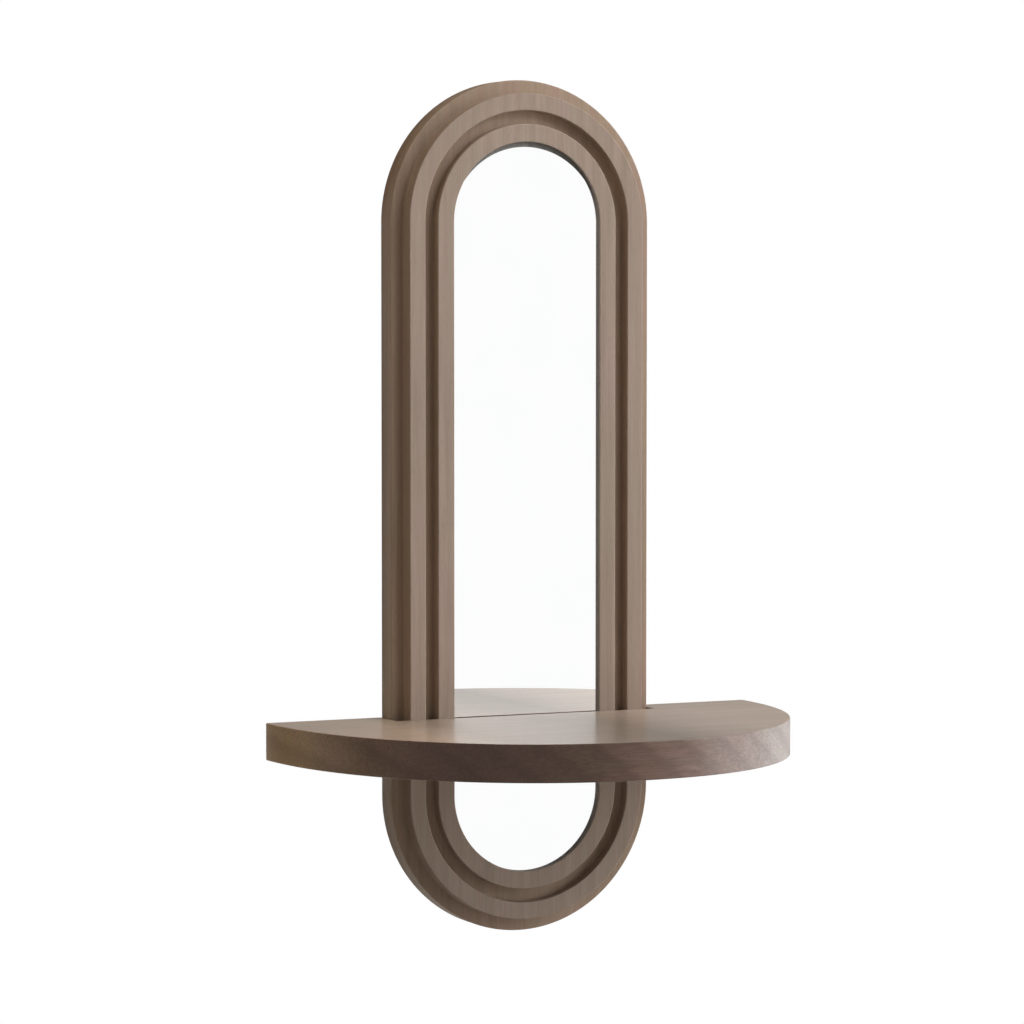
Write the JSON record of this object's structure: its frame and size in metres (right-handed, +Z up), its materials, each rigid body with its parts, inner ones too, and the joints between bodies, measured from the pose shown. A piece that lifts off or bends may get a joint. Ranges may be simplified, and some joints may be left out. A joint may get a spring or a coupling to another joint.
{
  "type": "wall mirror with shelf",
  "caption": "Tall round-ended wooden wall mirror with a ringed, grooved frame and a half-oval shelf notched around its lower end; hangs from a keyhole plate let into its back.",
  "frame": {"origin": "middle of the keyhole plate's round entry hole, in the plane of the frame's back", "axes": "+Z up, +X to the right of someone who looks at the mirror, front faces -Y, wall on the +Y side"},
  "size_m": [0.216, 0.1255, 0.345],
  "materials": {
    "frame_wood": "walnut-stained wood, fine upright grain, satin varnish",
    "shelf_wood": "walnut-stained wood, grain along the shelf's width, satin varnish",
    "mirror": "clear float glass, silvered behind",
    "foam": "thin white foam sheet",
    "hardboard": "brown hardboard, plain",
    "steel": "bright zinc-plated steel",
    "felt": "dark brown felt"
  },
  "bodies": {
    "root": {"frame": "frame_wood", "mirror_glass": "mirror", "foam_sheet": "foam", "back_panel": "hardboard", "retaining_point_1": "steel", "retaining_point_2": "steel", "retaining_point_3": "steel", "retaining_point_4": "steel", "retaining_point_5": "steel", "retaining_point_6": "steel", "retaining_point_7": "steel", "retaining_point_8": "steel", "shelf": "shelf_wood", "shelf_screw_left": "steel", "shelf_screw_right": "steel", "hanger_plate": "steel", "hanger_screw_left": "steel", "hanger_screw_right": "steel", "felt_pad_1": "felt", "felt_pad_2": "felt", "felt_pad_3": "felt", "felt_pad_4": "felt"}
  },
  "joints": []
}
